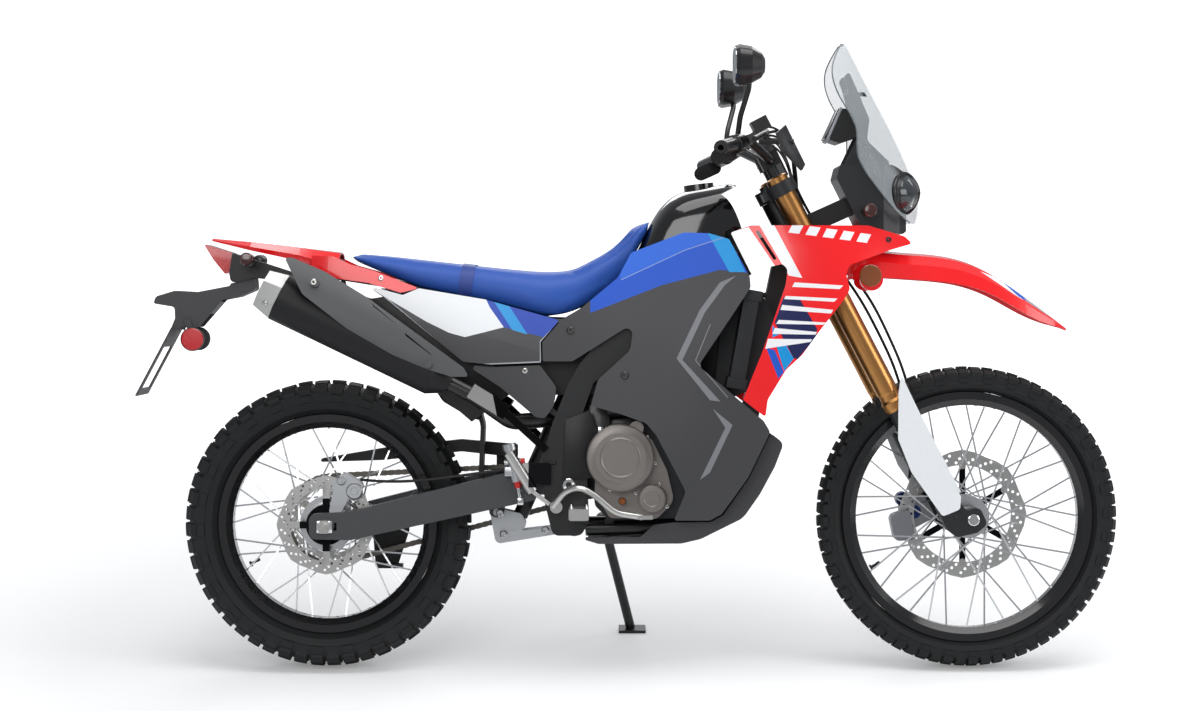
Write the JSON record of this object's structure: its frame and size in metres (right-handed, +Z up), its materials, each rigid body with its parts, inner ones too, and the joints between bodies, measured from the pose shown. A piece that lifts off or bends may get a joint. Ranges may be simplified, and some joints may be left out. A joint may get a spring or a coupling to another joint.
{
  "type": "dual sport motorcycle",
  "caption": "Tall single-cylinder dual sport motorcycle leaning on its side stand, with spoked wheels, block tyres, long forks, windscreen, high exhaust and a slim seat.",
  "frame": {"origin": "bottom centre of the leaned machine's bounding box, on the floor", "axes": "+X forward to the front wheel, +Y to the rider's left, +Z up; the machine leans 10.5 degrees to its left on its side stand"},
  "size_m": [2.2268, 0.8474, 1.4313],
  "materials": {
    "tyre_rubber": "matte block-tread rubber",
    "black_rim": "satin black anodised",
    "cast_alloy": "cast and satin",
    "brake_steel": "ground steel",
    "gold_alloy": "gold anodised",
    "black_metal": "semi-gloss black",
    "dark_plastic": "moulded-in grain",
    "red_plastic": "gloss with stripes",
    "white_plastic": "gloss with blue and grey graphics",
    "grey_metal": "satin",
    "seat_vinyl": "grained vinyl with a soft step",
    "black_gloss": "gloss",
    "lamp_red": "moulded lens",
    "clear_lens": "clear"
  },
  "bodies": {
    "chassis": {"frame": "black_metal", "swingarm": "cast_alloy", "rear_axle": "brake_steel", "rear_caliper": "cast_alloy", "drive_chain": "brake_steel", "chain_guards": "dark_plastic", "shock_absorber": "black_metal", "shock_linkage": "cast_alloy", "engine": "black_metal", "engine_covers": "grey_metal", "exhaust_pipe": "brake_steel", "muffler": "black_metal", "muffler_guard": "dark_plastic", "radiator": "cast_alloy", "airbox": "dark_plastic", "skid_plate": "dark_plastic", "footpegs": "cast_alloy", "foot_controls": "cast_alloy", "seat": "seat_vinyl", "fuel_tank": "black_gloss", "side_covers": "white_plastic", "side_cowls": "dark_plastic", "front_shrouds": "red_plastic", "tail_cowl": "red_plastic", "tail_lamp": "lamp_red", "rear_fender": "dark_plastic", "plate_holder": "dark_plastic", "indicators": "lamp_red", "headlight": "dark_plastic", "headlight_lens": "clear_lens", "windscreen": "clear_lens", "instrument_panel": "dark_plastic"},
    "steering": {"fork_tubes": "gold_alloy", "fork_legs": "cast_alloy", "triple_clamps": "black_metal", "handlebar": "black_metal", "hand_controls": "dark_plastic", "hand_guards": "dark_plastic", "mirrors": "dark_plastic", "front_fender": "red_plastic", "fork_guards": "white_plastic", "front_caliper": "cast_alloy", "front_axle": "brake_steel"},
    "front_wheel": {"front_tyre": "tyre_rubber", "front_rim": "black_rim", "front_hub": "cast_alloy", "front_disc": "brake_steel"},
    "rear_wheel": {"rear_tyre": "tyre_rubber", "rear_rim": "black_rim", "rear_hub": "cast_alloy", "rear_disc": "brake_steel", "rear_sprocket": "brake_steel"},
    "side_stand": {"side_stand": "black_metal"}
  },
  "joints": [
    {"name": "front_wheel_spin", "type": "hinge", "parent": "steering", "child": "front_wheel", "pos_m": [0.7714, -0.15626, 0.33868], "axis": [0, 0.9833, -0.1822], "continuous": true},
    {"name": "rear_wheel_spin", "type": "hinge", "parent": "chassis", "child": "rear_wheel", "pos_m": [-0.6836, -0.15899, 0.32393], "axis": [0, 0.9833, -0.1822], "continuous": true},
    {"name": "steering_turn", "type": "hinge", "parent": "chassis", "child": "steering", "pos_m": [0.71749, -0.16137, 0.31109], "axis": [-0.4617, 0.1616, 0.8722], "range_deg": [-42, 42]},
    {"name": "side_stand_fold", "type": "hinge", "parent": "chassis", "child": "side_stand", "pos_m": [-0.0556, -0.01296, 0.28873], "axis": [0.1621, 0.9497, 0.2679], "range_deg": [0, 95]}
  ]
}
